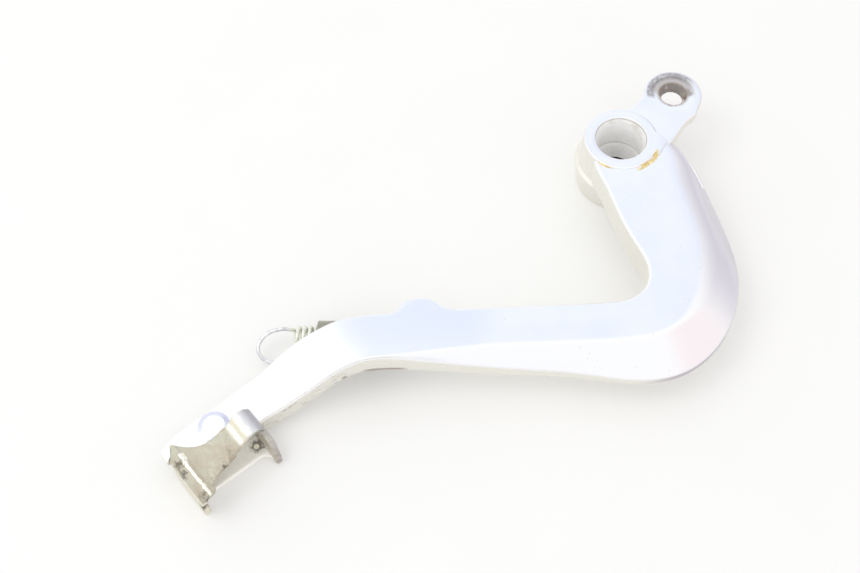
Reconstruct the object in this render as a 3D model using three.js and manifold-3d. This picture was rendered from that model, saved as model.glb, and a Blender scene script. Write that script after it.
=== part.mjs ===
// Rear brake pedal of a motorcycle, lying on its inner side.
// Millimetres, +Z is up and is the direction of the pivot axis, outer face of the pedal upwards.
// The design frame has the pivot axis at x = y = 0 and the resting surface at z = 0; the whole assembly is then
// moved so that the middle of its footprint is the origin.
import * as THREE from "three";
import { mergeVertices } from "three/addons/utils/BufferGeometryUtils.js";
import Module from "manifold-3d";

const wasm = await Module();
wasm.setup();

// ---- driving dimensions ----
const footprintCentre = { x: -65.82, y: -56.81 };

const boss = { height: 28, faceRadius: 14.9, waistRadius: 15.6, footRadius: 17.3, footHeight: 13.5 };
const bore = { radius: 10.3, sealSeatRadius: 10.9, sealSeatDepth: 3.2 };
const bush = { outerRadius: 10.2, gap: 0.4, recess: 0.8, outerBoreRadius: 9.7, innerBoreRadius: 8.9 };
const seal = { outerRadius: 10.75, lipRadius: 8.0, height: 2.9 };

const lug = { x: 23.1, y: 23.9, radius: 11.9, top: 26.8, thickness: 5.2, holeRadius: 4.4, mouthRadius: 5.7 };
const spotFace = { radius: 8.7, depth: 0.5 };

const armEdge = 1.2;
const armSteps = 72;

const anchor = { x: -80.8, y: -79.6, nubTop: 24.3, nubBottom: 13.9, nubSlope: 0.03 };
const pin = { pressRadius: 2.6, neckRadius: 1.9, headRadius: 3.4, headBottom: 3.2, headTop: 4.7, top: 20 };

const springAxisZ = 6.9;
const spring = { wireRadius: 0.75, coilRadius: 4.1, pitch: 2.3, start: 9.5, turns: 17, eyeRadius: 3.2 };
const freeLoop = { tilt: THREE.MathUtils.degToRad(25), gap: 1.2 };
const sleeve = { innerRadius: 5.3, outerRadius: 6.6, from: 12.0, length: 26.6 };

// Toe frame: U runs along the tongue to the tip, V to the foot side, W up from the tongue's top face.
const toe = { x: -155.2, y: -119.4, angle: THREE.MathUtils.degToRad(219), top: 12.1, thickness: 8.4 };
const cleat = { sheet: 2.5, clearance: 0.15, wallU: 17.9, bend: 4, clawU: -13.8, tipV: 22.1, treadV: 16.6 };
const rivet = { headRadius: 6.0, headHeight: 1.3, shankRadius: 3.0, tailRadius: 4.6, holeRadius: 3.1 };

// ---- solids ----
function toManifold(geometry) {
  const bare = geometry.clone();
  bare.deleteAttribute("normal");
  bare.deleteAttribute("uv");
  const merged = mergeVertices(bare, 1e-4);
  const mesh = new wasm.Mesh({
    numProp: 3,
    vertProperties: new Float32Array(merged.attributes.position.array),
    triVerts: new Uint32Array(merged.index.array),
  });
  return new wasm.Manifold(mesh);
}

function fromManifold(solid) {
  const mesh = solid.getMesh();
  const geometry = new THREE.BufferGeometry();
  geometry.setAttribute("position", new THREE.BufferAttribute(new Float32Array(mesh.vertProperties), 3));
  geometry.setIndex(new THREE.BufferAttribute(new Uint32Array(mesh.triVerts), 1));
  geometry.computeVertexNormals();
  return geometry;
}

function join(...geometries) {
  return geometries.map(toManifold).reduce((sum, solid) => sum.add(solid));
}

function cut(solid, ...geometries) {
  return geometries.map(toManifold).reduce((rest, tool) => rest.subtract(tool), solid);
}

// A prism of a plan outline between two heights.
function prism(shape, bottom, top, curveSegments = 24) {
  const geometry = new THREE.ExtrudeGeometry(shape, { depth: top - bottom, bevelEnabled: false, curveSegments });
  return geometry.translate(0, 0, bottom);
}

function outline(points) {
  return new THREE.Shape(points.map(([x, y]) => new THREE.Vector2(x, y)));
}

// A solid of revolution about a vertical axis, from [radius, height] pairs.
function turned(profile, x = 0, y = 0, segments = 64) {
  const points = profile.map(([radius, height]) => new THREE.Vector2(radius, height));
  const geometry = new THREE.LatheGeometry(points, segments);
  return geometry.rotateX(Math.PI / 2).translate(x, y, 0);
}

function rod(radius, bottom, top, x, y, segments = 48) {
  return turned([[0, bottom], [radius, bottom], [radius, top], [0, top]], x, y, segments);
}

// ---- lever forging ----
// One row for each station of the arm: left edge, crease between top face and bevel, right edge, then the height
// of the top face, how far the bevel drops, and the thickness.
const armStations = [
  [-10.5, -4.0, 14.0, 4.0, 15.0, 4.6, 27.0, 1.0, 13.0],
  [-11.6, -12.5, 21.3, -3.8, 24.4, -3.6, 27.1, 2.5, 13.1],
  [-7.9, -21.0, 24.4, -14.8, 31.0, -14.0, 27.1, 6.5, 13.1],
  [-5.3, -30.0, 27.7, -29.0, 36.4, -28.5, 27.1, 9.0, 13.1],
  [-0.3, -44.7, 30.1, -44.0, 41.0, -44.0, 27.0, 10.0, 13.1],
  [4.8, -54.7, 29.0, -56.5, 42.6, -57.0, 27.0, 10.0, 13.2],
  [6.3, -62.3, 26.8, -67.0, 40.9, -69.0, 26.9, 10.0, 13.3],
  [4.8, -67.4, 22.4, -76.6, 36.4, -81.0, 26.8, 10.0, 13.4],
  [2.9, -69.9, 17.0, -82.9, 29.0, -91.3, 26.7, 10.0, 13.4],
  [0.5, -71.8, 10.0, -87.4, 19.8, -98.6, 26.6, 10.0, 13.4],
  [-2.2, -73.2, 2.6, -89.6, 9.0, -102.4, 26.4, 9.8, 13.2],
  [-6.5, -74.2, -7.0, -90.8, -4.0, -102.9, 26.2, 9.5, 13.0],
  [-20.5, -75.2, -21.5, -91.8, -21.1, -100.4, 26.0, 8.5, 12.8],
  [-40.0, -75.8, -39.0, -92.3, -38.0, -99.5, 25.6, 7.5, 12.3],
  [-59.0, -76.5, -57.0, -92.8, -55.5, -98.7, 25.1, 6.0, 11.7],
  [-80.0, -77.3, -78.0, -95.0, -77.0, -97.6, 24.5, 3.5, 10.5],
  [-96.0, -78.3, -91.6, -96.3, -91.6, -97.1, 24.0, 1.5, 9.8],
  [-108.4, -79.8, -100.9, -97.2, -100.6, -98.0, 23.6, 1.2, 9.5],
  [-115.0, -82.1, -106.4, -99.0, -106.0, -99.8, 22.6, 1.2, 8.8],
  [-122.4, -85.3, -112.0, -101.0, -111.6, -101.7, 20.4, 1.2, 8.6],
  [-128.9, -88.4, -118.0, -104.2, -117.6, -104.9, 17.0, 1.2, 8.5],
  [-135.3, -92.8, -124.4, -107.3, -124.0, -108.0, 13.8, 1.2, 9.0],
  [-140.6, -98.1, -130.2, -110.8, -129.8, -111.5, 12.3, 1.2, 9.6],
  [-145.6, -101.9, -135.8, -114.5, -135.4, -115.2, 12.1, 1.2, 9.6],
  [-148.2, -104.0, -138.2, -116.4, -137.9, -117.1, 12.1, 1.2, 8.4],
  [-153.0, -108.4, -144.4, -121.2, -144.0, -121.9, 12.1, 1.2, 8.4],
  [-160.0, -114.3, -150.9, -126.5, -150.5, -127.2, 12.1, 1.2, 8.4],
  [-169.3, -122.0, -160.4, -133.8, -160.0, -134.5, 12.1, 1.2, 7.6],
  [-173.3, -126.8, -166.0, -135.9, -165.7, -136.5, 12.1, 1.2, 4.4],
  [-174.2, -129.6, -169.9, -135.0, -169.7, -135.4, 12.1, 1.2, 2.8],
];

function armCurve(pick) {
  return new THREE.CatmullRomCurve3(armStations.map((row) => new THREE.Vector3(...pick(row))), false, "centripetal");
}

// The curves share their parameter, so every station has its own four curve points.
const leftCurve = armCurve(([leftX, leftY]) => [leftX, leftY, 0]);
const creaseCurve = armCurve((row) => [row[2], row[3], 0]);
const rightCurve = armCurve((row) => [row[4], row[5], 0]);
const levelCurve = armCurve((row) => [row[6], row[7], row[8]]);

function curvePoint(curve, step) {
  return curve.getPoint(step / armSteps);
}

// The eight corners of one cross-section, counted round from the top left.
function armSection(step) {
  const left = curvePoint(leftCurve, step);
  const crease = curvePoint(creaseCurve, step);
  const right = curvePoint(rightCurve, step);
  const level = curvePoint(levelCurve, step);
  const [top, drop, thickness] = [level.x, level.y, level.z];
  const bottom = top - thickness;
  const across = right.clone().sub(left).normalize().multiplyScalar(armEdge);
  const inLeft = left.clone().add(across);
  const inRight = right.clone().sub(across);
  return [
    [inLeft, top],
    [crease, top],
    [right, top - drop],
    [right, bottom + armEdge],
    [inRight, bottom],
    [inLeft, bottom],
    [left, bottom + armEdge],
    [left, top - armEdge],
  ].map(([point, height]) => [point.x, point.y, height]);
}

// Skins a list of rings that all have the same number of points, with a flat fan on each end.
function skin(rings) {
  const size = rings[0].length;
  const positions = rings.flat(2);
  const index = [];
  for (let ring = 0; ring + 1 < rings.length; ring += 1) {
    for (let corner = 0; corner < size; corner += 1) {
      const next = (corner + 1) % size;
      const a = ring * size + corner;
      const b = ring * size + next;
      index.push(a, a + size, b, b, a + size, b + size);
    }
  }
  const last = (rings.length - 1) * size;
  for (let corner = 1; corner + 1 < size; corner += 1) {
    index.push(0, corner, corner + 1);
    index.push(last, last + corner + 1, last + corner);
  }
  const geometry = new THREE.BufferGeometry();
  geometry.setAttribute("position", new THREE.Float32BufferAttribute(positions, 3));
  geometry.setIndex(index);
  return geometry;
}

function armBody() {
  const rings = [];
  for (let step = 0; step <= armSteps; step += 1) rings.push(armSection(step));
  return skin(rings);
}

function bossBody() {
  const chamfer = 0.7;
  return turned([
    [0, 0],
    [boss.waistRadius - chamfer, 0],
    [boss.waistRadius, chamfer],
    [boss.footRadius, boss.footHeight - 1],
    [boss.footRadius - 0.5, boss.footHeight],
    [boss.waistRadius, boss.footHeight + 1.2],
    [boss.faceRadius, boss.height - chamfer],
    [boss.faceRadius - chamfer, boss.height],
    [0, boss.height],
  ]);
}

// The raised outer face runs out to a corner where the arm meets the lug.
function bossCorner() {
  return prism(outline([[-2, 2], [4.9, 13.1], [18.6, -1.0], [14.4, -8.2], [-2, -6]].reverse()), 20, boss.height);
}

function lugPlate() {
  const shape = new THREE.Shape();
  shape.moveTo(16, -8);
  shape.lineTo(20.2, -1.2);
  shape.lineTo(25.0, 6.4);
  shape.quadraticCurveTo(27.0, 9.6, 30.0, 11.8);
  shape.quadraticCurveTo(32.3, 13.7, 33.3, 17.9);
  shape.absarc(lug.x, lug.y, lug.radius, THREE.MathUtils.degToRad(-30), THREE.MathUtils.degToRad(172), false);
  shape.quadraticCurveTo(10.3, 20.4, 4.6, 16.4);
  shape.lineTo(0, 13);
  shape.lineTo(0, 0);
  return prism(shape, lug.top - lug.thickness, lug.top);
}

// The clevis hole, with a tapered mouth below the spot face.
function lugHole() {
  const face = lug.top - spotFace.depth;
  const profile = [
    [0, 0],
    [lug.holeRadius, 0],
    [lug.holeRadius, face - 2.4],
    [lug.mouthRadius, face],
    [lug.mouthRadius, boss.height + 1],
    [0, boss.height + 1],
  ];
  return turned(profile, lug.x, lug.y, 48);
}

// Rounded nub on the far edge of the arm, above the spring's anchor pin. Its outline is drawn from the pin's axis.
function anchorNub() {
  const shape = new THREE.Shape();
  shape.moveTo(-13, -3);
  shape.lineTo(-10.8, 0.8);
  shape.quadraticCurveTo(-8.4, 1.0, -7.4, 3.3);
  shape.quadraticCurveTo(-6.2, 6.6, -1.6, 7.0);
  shape.lineTo(2.2, 7.1);
  shape.quadraticCurveTo(4.6, 6.9, 6.7, 4.9);
  shape.quadraticCurveTo(8.9, 2.8, 12.2, 2.6);
  shape.lineTo(14, 2.0);
  shape.lineTo(14, -3);
  const nub = prism(shape, anchor.nubBottom, anchor.nubTop);
  leanTop(nub, anchor.nubBottom + 1, anchor.nubSlope);
  return nub.translate(anchor.x, anchor.y, 0);
}

// Slopes everything above a level up along X, so that the nub's top face follows the arm's.
function leanTop(geometry, level, slope) {
  const position = geometry.attributes.position;
  for (let corner = 0; corner < position.count; corner += 1) {
    const height = position.getZ(corner);
    if (height > level) position.setZ(corner, height + slope * position.getX(corner));
  }
}

// The tongue is notched at the foot side of its tip, where the cleat's end wall comes down.
function tongueNotch() {
  const notch = [[16.1, -3.4], [17.2, -3.3], [18.9, -0.2], [20.7, 1.0], [23, 1.1], [23, 12], [16.1, 12]];
  return inToeFrame(prism(outline(notch), -toe.top, 1));
}

function leverArm() {
  const solid = join(armBody(), bossBody(), bossCorner(), lugPlate(), anchorNub());
  const tongueBottom = toe.top - toe.thickness;
  return cut(
    solid,
    rod(bore.radius, -1, boss.height + 1, 0, 0, 64),
    rod(bore.sealSeatRadius, -1, bore.sealSeatDepth, 0, 0, 64),
    lugHole(),
    rod(spotFace.radius, lug.top - spotFace.depth, lug.top + 1, lug.x, lug.y),
    rod(pin.pressRadius + 0.05, 0, pin.top + 0.3, anchor.x, anchor.y),
    rod(rivet.holeRadius, tongueBottom - 1, toe.top + 1, toe.x, toe.y),
    tongueNotch(),
  );
}

// ---- pivot bushes and seal ----
function ring(outerRadius, innerRadius, bottom, top) {
  return turned([
    [innerRadius, bottom],
    [outerRadius, bottom],
    [outerRadius, top],
    [innerRadius, top],
    [innerRadius, bottom],
  ]);
}

const bushSplit = boss.height / 2 - 1.5;

function outerBush() {
  return ring(bush.outerRadius, bush.outerBoreRadius, bushSplit + bush.gap / 2, boss.height - bush.recess);
}

function innerBush() {
  return ring(bush.outerRadius, bush.innerBoreRadius, bore.sealSeatDepth + 0.1, bushSplit - bush.gap / 2);
}

function dustSeal() {
  const lipHeight = 1.2;
  return turned([
    [seal.lipRadius + 0.9, 0.1],
    [seal.outerRadius, 0.1],
    [seal.outerRadius, seal.height],
    [seal.lipRadius + 0.9, seal.height],
    [seal.lipRadius + 0.9, lipHeight + 0.6],
    [seal.lipRadius, lipHeight],
    [seal.lipRadius + 0.9, 0.1],
  ]);
}

// ---- toe cleat ----
// The cleat is drawn in the toe frame and then turned and moved into place.
function inToeFrame(geometry) {
  return geometry.rotateZ(toe.angle).translate(toe.x, toe.y, toe.top);
}

// A prism of a [u, w] profile that runs from one v to another.
function acrossProfile(points, fromV, toV) {
  const shape = outline(points.map(([u, w]) => [u, -w]));
  const geometry = new THREE.ExtrudeGeometry(shape, { depth: toV - fromV, bevelEnabled: false });
  return geometry.rotateX(-Math.PI / 2).translate(0, fromV, 0);
}

// A prism of a [v, w] profile that runs from one u to another.
function alongProfile(points, fromU, toU) {
  const shape = outline(points);
  const geometry = new THREE.ExtrudeGeometry(shape, { depth: toU - fromU, bevelEnabled: false });
  return geometry.rotateX(Math.PI / 2).rotateZ(Math.PI / 2).translate(fromU, 0, 0);
}

// Points of an arc in degrees, both ends included.
function arc(x, y, radius, from, to, steps) {
  const points = [];
  for (let step = 0; step <= steps; step += 1) {
    const angle = THREE.MathUtils.degToRad(from + ((to - from) * step) / steps);
    points.push([x + radius * Math.cos(angle), y + radius * Math.sin(angle)]);
  }
  return points;
}

const wallOuterU = cleat.wallU + cleat.sheet;
const floorW = -toe.top;
const webTop = -toe.thickness - cleat.clearance;
const webBottom = webTop - cleat.sheet;
const hump = { u: -8.3, w: 1.2, radius: 5.3 };

// Side view of the top strap: bend at the end wall, sloping strap, then the hump that comes down to the claw.
function strapProfile() {
  const bendU = wallOuterU - cleat.bend;
  const bendW = cleat.clearance + cleat.sheet - cleat.bend;
  const humpInner = hump.radius - cleat.sheet + 0.3;
  return [
    [wallOuterU, bendW - 1],
    ...arc(bendU, bendW, cleat.bend, 0, 90, 6),
    [6.0, 3.6],
    [-2.0, 4.2],
    ...arc(hump.u, hump.w, hump.radius, 42, 172, 9),
    [cleat.clawU, cleat.clearance],
    ...arc(hump.u, hump.w, humpInner, 186, 48, 8),
    [-4.2, 2.0],
    [6.0, 1.6],
    ...arc(bendU, bendW, cleat.bend - cleat.sheet, 90, 0, 4),
    [cleat.wallU, bendW - 1],
  ];
}

// Plan view of the strap: wide at the end wall, narrow past the rivet head.
function strapPlan() {
  return outline([
    [wallOuterU + 1, 1.5],
    [wallOuterU, 1.3],
    [18.7, 0.2],
    [16.9, -2.9],
    [14.7, -0.6],
    [12.7, 1.6],
    [9.1, 4.0],
    [6.7, 4.6],
    [3.0, 4.8],
    [-1.6, 4.0],
    [-15, 3.3],
    [-15, 13.7],
    [-4.6, 13.7],
    [-0.4, 14.9],
    [1.9, 16.1],
    [5.6, 16.9],
    [8.4, 17.2],
    [13.2, 19.0],
    [13.6, 21.4],
    [14.8, 22.3],
    [wallOuterU + 1, 22.1],
  ].reverse());
}

// One end plate of the cleat, seen along the tongue: a foot, a rounded notched foot-side edge, then the top.
function clawSide(footV, innerV, topW) {
  const { tipV } = cleat;
  return [
    [footV, floorW],
    [tipV - 1.4, floorW],
    [tipV, floorW + 1.2],
    [tipV - 1.1, floorW + 2.4],
    [tipV, floorW + 3.6],
    [tipV - 0.2, floorW + 5.0],
    [tipV - 1.5, floorW + 5.9],
    [tipV - 0.9, floorW + 7.4],
    [tipV - 2.0, floorW + 8.8],
    [tipV - 2.6, topW - 1.2],
    [tipV - 4.6, topW],
    [innerV, topW],
  ];
}

// Bottom plate under the tongue, with rounded corners into the two end plates.
function webPlan() {
  const edgeV = cleat.treadV;
  const endV = cleat.tipV - 1.6;
  const radius = endV - edgeV;
  return outline([
    [wallOuterU, 4.4],
    [17, 0.6],
    [10, -3.4],
    [0, -5.0],
    [-8, -5.6],
    [cleat.clawU, -5.6],
    [cleat.clawU, endV],
    [cleat.clawU + cleat.sheet, endV],
    ...arc(cleat.clawU + cleat.sheet + radius, endV, radius, 180, 270, 5),
    ...arc(cleat.wallU - radius, endV, radius, 270, 360, 5),
    [wallOuterU, endV],
  ].reverse());
}

function toeCleat() {
  const strap = toManifold(acrossProfile(strapProfile(), -6, 21)).intersect(toManifold(prism(strapPlan(), -4, 9)));
  const wallTop = cleat.clearance + cleat.sheet - cleat.bend;
  const endWall = alongProfile(clawSide(4.4, 1.4, wallTop), cleat.wallU, wallOuterU);
  const claw = alongProfile(clawSide(10.4, 10.4, 1.2), cleat.clawU, cleat.clawU + cleat.sheet);
  const solid = strap.add(join(endWall, claw, prism(webPlan(), webBottom, webTop)));
  const rivetHole = rod(rivet.holeRadius, webBottom - 1, webTop + 1, 0, 0);
  return inToeFrame(fromManifold(cut(solid, rivetHole)));
}

function toeRivet() {
  const tailTop = webBottom - 0.02;
  return inToeFrame(turned([
    [0, floorW],
    [rivet.tailRadius - 0.6, floorW],
    [rivet.tailRadius, floorW + 0.5],
    [rivet.tailRadius, tailTop],
    [rivet.shankRadius, tailTop],
    [rivet.shankRadius, cleat.clearance],
    [rivet.headRadius, cleat.clearance],
    [rivet.headRadius, 0.4],
    [rivet.headRadius - 1.8, rivet.headHeight],
    [0, rivet.headHeight],
  ], 0, 0, 48));
}

// ---- return spring ----
function wire(points, radius, steps, closed = false) {
  const section = new THREE.Shape(arc(0, 0, radius, 0, 300, 5).map(([x, y]) => new THREE.Vector2(x, y)));
  const path = new THREE.CatmullRomCurve3(points, closed, "centripetal");
  return new THREE.ExtrudeGeometry(section, { steps, bevelEnabled: false, extrudePath: path });
}

// The spring lies along -X from the anchor pin. Distances are measured from the pin.
function springPoint(distance, side, up) {
  return new THREE.Vector3(anchor.x - distance, anchor.y + side, springAxisZ + up);
}

const coilEnd = spring.start + spring.turns * spring.pitch;

function returnSpring() {
  const stepsPerTurn = 12;
  const points = [];
  for (let step = 0; step <= 9; step += 1) {
    const angle = THREE.MathUtils.degToRad(-150 + (300 * step) / 9);
    points.push(springPoint(-spring.eyeRadius * Math.cos(angle), spring.eyeRadius * Math.sin(angle), 0));
  }
  points.push(springPoint(5.4, 2.8, 0));
  points.push(springPoint(7.6, 3.8, 0));
  const count = spring.turns * stepsPerTurn;
  for (let step = 0; step <= count; step += 1) {
    const angle = (2 * Math.PI * step) / stepsPerTurn;
    const distance = spring.start + (spring.pitch * step) / stepsPerTurn;
    points.push(springPoint(distance, spring.coilRadius * Math.cos(angle), spring.coilRadius * Math.sin(angle)));
  }
  return wire(points, spring.wireRadius, points.length - 1);
}

// The hook's centreline: distance past the end of the coil, and offset from the spring's axis in the hook's plane.
const hookLine = [
  [2.6, 3.75],
  [4.9, 3.2],
  [8.3, 2.3],
  [11.1, 0.1],
  [12.8, -2.8],
  [12.8, -5.2],
  [11.3, -7.6],
  [9.3, -8.9],
  [7.0, -9.6],
  [4.8, -9.8],
];

function springFreeHook() {
  const points = [springPoint(coilEnd + freeLoop.gap, spring.coilRadius, 0.2)];
  for (const [distance, offset] of hookLine) {
    const side = offset * Math.cos(freeLoop.tilt);
    points.push(springPoint(coilEnd + distance, side, offset * Math.sin(freeLoop.tilt)));
  }
  return wire(points, spring.wireRadius, 32);
}

function springSleeve() {
  const tube = turned([
    [sleeve.innerRadius, 0],
    [sleeve.outerRadius, 0],
    [sleeve.outerRadius, sleeve.length],
    [sleeve.innerRadius, sleeve.length],
    [sleeve.innerRadius, 0],
  ], 0, 0, 40);
  return tube.rotateY(-Math.PI / 2).translate(anchor.x - sleeve.from, anchor.y, springAxisZ);
}

function anchorPin() {
  const underside = anchor.nubBottom;
  return turned([
    [0, pin.headBottom],
    [pin.headRadius - 0.5, pin.headBottom],
    [pin.headRadius, pin.headBottom + 0.5],
    [pin.headRadius, pin.headTop],
    [pin.neckRadius, pin.headTop],
    [pin.neckRadius, underside - 1],
    [pin.pressRadius, underside],
    [pin.pressRadius, pin.top],
    [0, pin.top],
  ], anchor.x, anchor.y, 32);
}

// ---- materials and assembly ----
function finish(color, metalness, roughness) {
  return new THREE.MeshStandardMaterial({ color, metalness, roughness });
}

const aluminium = finish(0xd9dde6, 1.0, 0.28);
const bronze = finish(0xb8b0a0, 0.9, 0.45);
const rubber = finish(0x1c1b1a, 0.0, 0.8);
const plated = finish(0xaea58a, 0.9, 0.42);
const zinc = finish(0xc9cbd0, 1.0, 0.25);
const sleeveRubber = finish(0x55564a, 0.0, 0.75);

const pedal = new THREE.Group();

function place(name, geometry, material) {
  const mesh = new THREE.Mesh(geometry, material);
  mesh.name = name;
  mesh.position.set(-footprintCentre.x, -footprintCentre.y, 0);
  pedal.add(mesh);
}

place("lever_arm", fromManifold(leverArm()), aluminium);
place("outer_pivot_bush", outerBush(), bronze);
place("inner_pivot_bush", innerBush(), bronze.clone());
place("inner_dust_seal", dustSeal(), rubber);
place("toe_cleat", toeCleat(), plated);
place("toe_rivet", toeRivet(), aluminium.clone());
place("spring_anchor_pin", anchorPin(), zinc);
place("return_spring", returnSpring(), zinc.clone());
place("spring_free_hook", springFreeHook(), zinc.clone());
place("spring_sleeve", springSleeve(), sleeveRubber);

export default pedal;
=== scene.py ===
"""Rear brake pedal lying on a pale floor: the looks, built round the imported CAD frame."""

import math

import bmesh
import bpy
import numpy as np
from mathutils import Matrix, Vector, noise


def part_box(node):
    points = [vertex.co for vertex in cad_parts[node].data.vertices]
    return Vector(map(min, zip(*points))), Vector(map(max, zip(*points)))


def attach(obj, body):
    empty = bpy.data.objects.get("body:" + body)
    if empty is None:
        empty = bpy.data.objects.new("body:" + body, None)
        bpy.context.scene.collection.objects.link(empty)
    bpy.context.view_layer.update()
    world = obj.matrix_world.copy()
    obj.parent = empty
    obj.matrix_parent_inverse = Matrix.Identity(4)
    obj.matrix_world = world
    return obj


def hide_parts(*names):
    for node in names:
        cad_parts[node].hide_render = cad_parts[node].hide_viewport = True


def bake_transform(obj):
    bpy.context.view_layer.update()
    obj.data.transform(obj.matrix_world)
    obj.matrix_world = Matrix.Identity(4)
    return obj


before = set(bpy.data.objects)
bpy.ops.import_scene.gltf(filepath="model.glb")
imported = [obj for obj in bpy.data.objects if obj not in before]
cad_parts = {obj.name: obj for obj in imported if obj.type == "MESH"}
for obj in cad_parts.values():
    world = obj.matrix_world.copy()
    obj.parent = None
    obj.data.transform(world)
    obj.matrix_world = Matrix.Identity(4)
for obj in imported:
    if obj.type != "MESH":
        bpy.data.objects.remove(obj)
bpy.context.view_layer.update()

# Shapes are drawn in millimetres in the drawing frame: pivot axis at x = y = 0, floor at z = 0.
MILLIMETRES = 1000.0
bush_low, bush_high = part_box("outer_pivot_bush")
PIVOT = np.array([(bush_low[0] + bush_high[0]) / 2, (bush_low[1] + bush_high[1]) / 2, 0.0])

BOSS_TOP = 28.0
BORE_RADIUS = 10.3
SEAT_RADIUS = 10.9
SEAT_DEPTH = 3.2
BORE_EDGE = 0.4
BUSH_CLEARANCE = 0.1
LUG_CENTRE = (23.1, 23.9)
LUG_TOP = 26.8
LUG_FACE = 26.3
LUG_THICKNESS = 5.2
ANCHOR = (-80.8, -79.6)
NUB_BOTTOM = 13.9
NUB_TOP = 24.45
NUB_SLOPE = 0.03
TOE_ORIGIN = np.array([-155.2, -119.4, 12.1])
TOE_ANGLE = math.radians(219)
RIVET_HOLE_RADIUS = 3.1
SHEET = 2.5

# Left edge x y, crease x y, right edge x y, top level, drop of the bevel, thickness.
ARM_STATIONS = np.array([
    [-10.5, -4.0, 14.0, 4.0, 15.0, 4.6, 27.0, 1.0, 13.0],
    [-11.6, -12.5, 21.3, -3.8, 24.4, -3.6, 27.1, 2.5, 13.1],
    [-7.9, -21.0, 24.4, -14.8, 31.0, -14.0, 27.1, 6.5, 13.1],
    [-5.3, -30.0, 27.7, -29.0, 36.4, -28.5, 27.1, 9.0, 13.1],
    [-0.3, -44.7, 30.1, -44.0, 41.0, -44.0, 27.0, 10.0, 13.1],
    [4.8, -54.7, 29.0, -56.5, 42.6, -57.0, 27.0, 10.0, 13.2],
    [6.3, -62.3, 26.8, -67.0, 40.9, -69.0, 26.9, 10.0, 13.3],
    [4.8, -67.4, 22.4, -76.6, 36.4, -81.0, 26.8, 10.0, 13.4],
    [2.9, -69.9, 17.0, -82.9, 29.0, -91.3, 26.7, 10.0, 13.4],
    [0.5, -71.8, 10.0, -87.4, 19.8, -98.6, 26.6, 10.0, 13.4],
    [-2.2, -73.2, 2.6, -89.6, 9.0, -102.4, 26.4, 9.8, 13.2],
    [-6.5, -74.2, -7.0, -90.8, -4.0, -102.9, 26.2, 9.5, 13.0],
    [-20.5, -75.2, -21.5, -91.8, -21.1, -100.4, 26.0, 8.5, 12.8],
    [-40.0, -75.8, -39.0, -92.3, -38.0, -99.5, 25.6, 7.5, 12.3],
    [-59.0, -76.5, -57.0, -92.8, -55.5, -98.7, 25.1, 6.0, 11.7],
    [-80.0, -77.3, -78.0, -95.0, -77.0, -97.6, 24.5, 3.5, 10.5],
    [-96.0, -78.3, -91.6, -96.3, -91.6, -97.1, 24.0, 1.5, 9.8],
    [-108.4, -79.8, -100.9, -97.2, -100.6, -98.0, 23.6, 1.2, 9.5],
    [-115.0, -82.1, -106.4, -99.0, -106.0, -99.8, 22.6, 1.2, 8.8],
    [-122.4, -85.3, -112.0, -101.0, -111.6, -101.7, 20.4, 1.2, 8.6],
    [-128.9, -88.4, -118.0, -104.2, -117.6, -104.9, 17.0, 1.2, 8.5],
    [-135.3, -92.8, -124.4, -107.3, -124.0, -108.0, 13.8, 1.2, 9.0],
    [-140.6, -98.1, -130.2, -110.8, -129.8, -111.5, 12.3, 1.2, 9.6],
    [-145.6, -101.9, -135.8, -114.5, -135.4, -115.2, 12.1, 1.2, 9.6],
    [-148.2, -104.0, -138.2, -116.4, -137.9, -117.1, 12.1, 1.2, 8.4],
    [-153.0, -108.4, -144.4, -121.2, -144.0, -121.9, 12.1, 1.2, 8.4],
    [-160.0, -114.3, -150.9, -126.5, -150.5, -127.2, 12.1, 1.2, 8.4],
    [-169.3, -122.0, -160.4, -133.8, -160.0, -134.5, 12.1, 1.2, 7.6],
    [-173.3, -126.8, -166.0, -135.9, -165.7, -136.5, 12.1, 1.2, 4.4],
    [-174.2, -129.6, -169.9, -135.0, -169.7, -135.4, 12.1, 1.2, 2.8],
])
STEPS_PER_STATION = 8
ARM_SMOOTHING = 3.0
# The crease is well rounded at the first stations and crisp from this one on.
CRISP_FROM = 8.5
CRISP_FADE = 4
# Drop of the bevel at which the crease has its full rounding.
DEEP_BEVEL = 6


# ---- meshes ----
def new_mesh(name, points, faces):
    """A mesh object with its faces turned outwards."""
    mesh = bpy.data.meshes.new(name)
    mesh.from_pydata([tuple(map(float, point)) for point in points], [], faces)
    draft = bmesh.new()
    draft.from_mesh(mesh)
    bmesh.ops.remove_doubles(draft, verts=draft.verts, dist=1e-4)
    bmesh.ops.recalc_face_normals(draft, faces=draft.faces)
    draft.to_mesh(mesh)
    draft.free()
    piece = bpy.data.objects.new(name, mesh)
    bpy.context.collection.objects.link(piece)
    return piece


def skin(name, rings, loop=False):
    """Skins rings of equal length. Open runs get a flat cap on each end."""
    size = len(rings[0])
    points = [point for ring in rings for point in ring]
    count = len(rings)
    faces = []
    for ring in range(count if loop else count - 1):
        start = ring * size
        after = ((ring + 1) % count) * size
        for corner in range(size):
            side = (corner + 1) % size
            faces.append((start + corner, after + corner, after + side, start + side))
    if not loop:
        faces.append(tuple(range(size)))
        faces.append(tuple(range((count - 1) * size, count * size)))
    return new_mesh(name, points, faces)


def turned(name, profile, centre=(0.0, 0.0), segments=128, loop=False):
    """A solid of revolution about a vertical axis, from (radius, height) pairs.

    A loop is a ring with a hole through it."""
    smallest = 1e-3
    rings = []
    for radius, height in profile:
        reach = max(radius, smallest)
        ring = []
        for step in range(segments):
            angle = 2 * math.pi * step / segments
            x = centre[0] + reach * math.cos(angle)
            y = centre[1] + reach * math.sin(angle)
            ring.append((x, y, height))
        rings.append(ring)
    return skin(name, rings, loop)


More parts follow.
